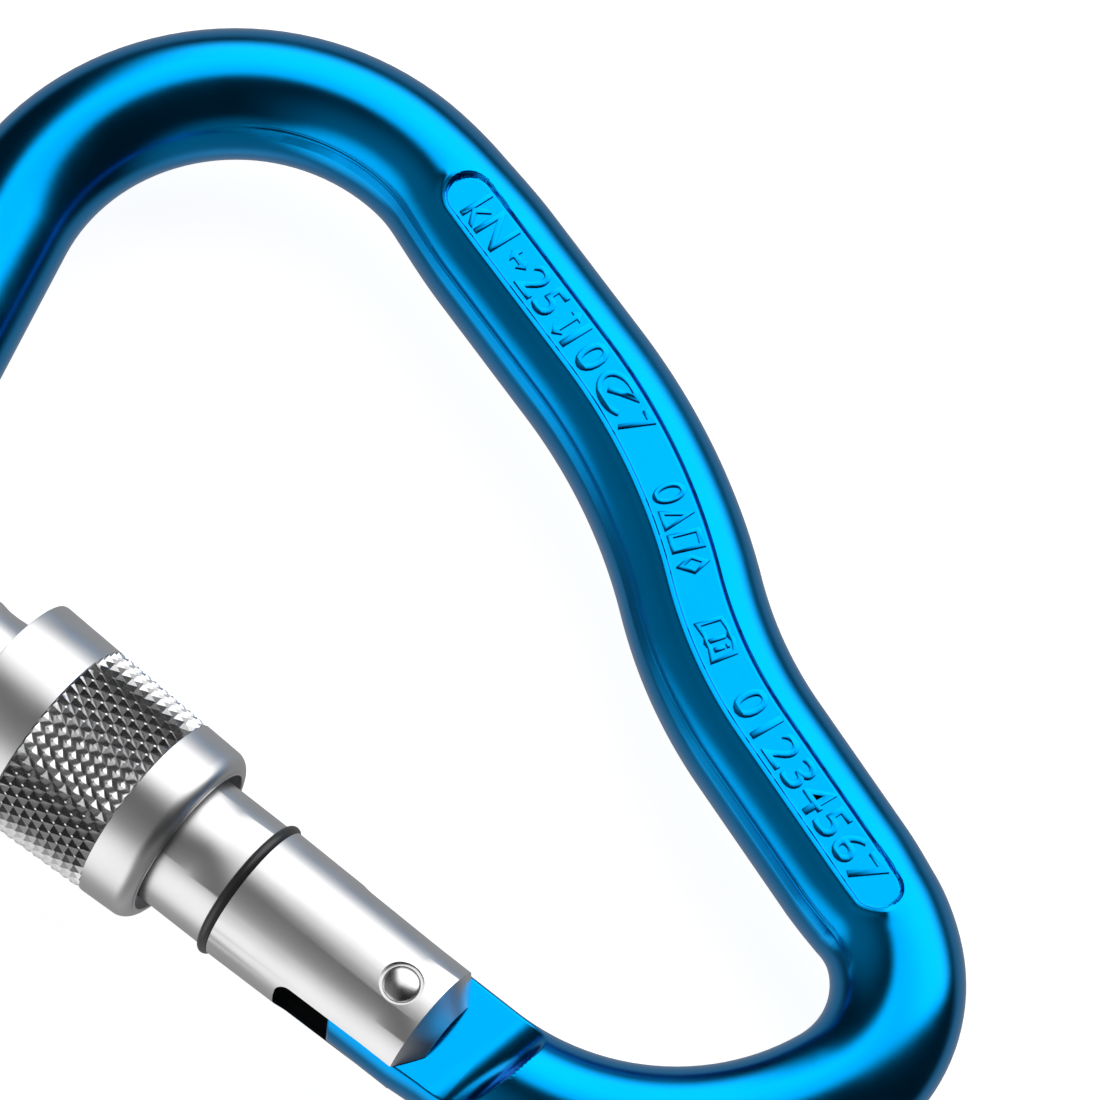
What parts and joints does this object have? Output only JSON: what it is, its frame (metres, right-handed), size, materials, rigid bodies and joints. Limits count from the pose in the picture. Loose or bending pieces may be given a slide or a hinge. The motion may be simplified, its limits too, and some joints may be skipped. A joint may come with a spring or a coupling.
{
  "type": "locking carabiner",
  "caption": "Pear-shaped locking carabiner: a bent rod body, a sprung gate that swings inwards and a knurled sleeve that screws over the joint at the nose.",
  "frame": {"origin": "centre of the whole carabiner's box, in the plane of its bent rod", "axes": "+Y along the closed gate, from the hinge to the nose; +X from the gate towards the spine; +Z normal to the carabiner's plane"},
  "size_m": [0.0766, 0.117, 0.0188],
  "materials": {
    "blue_anodised": "forged, tumbled and bright-dipped aluminium, anodised blue",
    "bright_aluminium": "turned and tumbled aluminium, clear anodised",
    "turned_aluminium": "turned aluminium with a diamond knurl, clear anodised",
    "steel": "plain stainless steel, upset and polished at the head",
    "black_rubber": "moulded nitrile rubber, slightly shiny",
    "plunger_steel": "turned steel, oiled",
    "spring_steel": "drawn stainless spring wire"
  },
  "bodies": {
    "frame": {"body": "blue_anodised"},
    "gate": {"gate_barrel": "bright_aluminium", "hinge_rivet": "steel", "latch_pin": "steel", "o_ring": "black_rubber", "gate_spring": "spring_steel"},
    "sleeve": {"lock_sleeve": "turned_aluminium"},
    "plunger": {"spring_plunger": "plunger_steel"}
  },
  "joints": [
    {"name": "gate_swing", "type": "hinge", "parent": "frame", "child": "gate", "pos_m": [-0.02897, -0.01926, 0], "axis": [0, 0, -1], "range_deg": [0, 42], "stiffness_Nm_per_rad": 0.4, "springref_deg": -42.97},
    {"name": "sleeve_travel", "type": "slide", "parent": "gate", "child": "sleeve", "axis": [0, 1, 0], "range_m": [-0.0076, 0.0109]},
    {"name": "plunger_slide", "type": "slide", "parent": "gate", "child": "plunger", "axis": [0, 1, 0], "range_m": [0, 0.0009], "deforming": ["gate_spring"]}
  ],
  "couplings": [
    {"joint": "plunger_slide", "follows": "gate_swing", "m_per_rad": 0.0012}
  ]
}
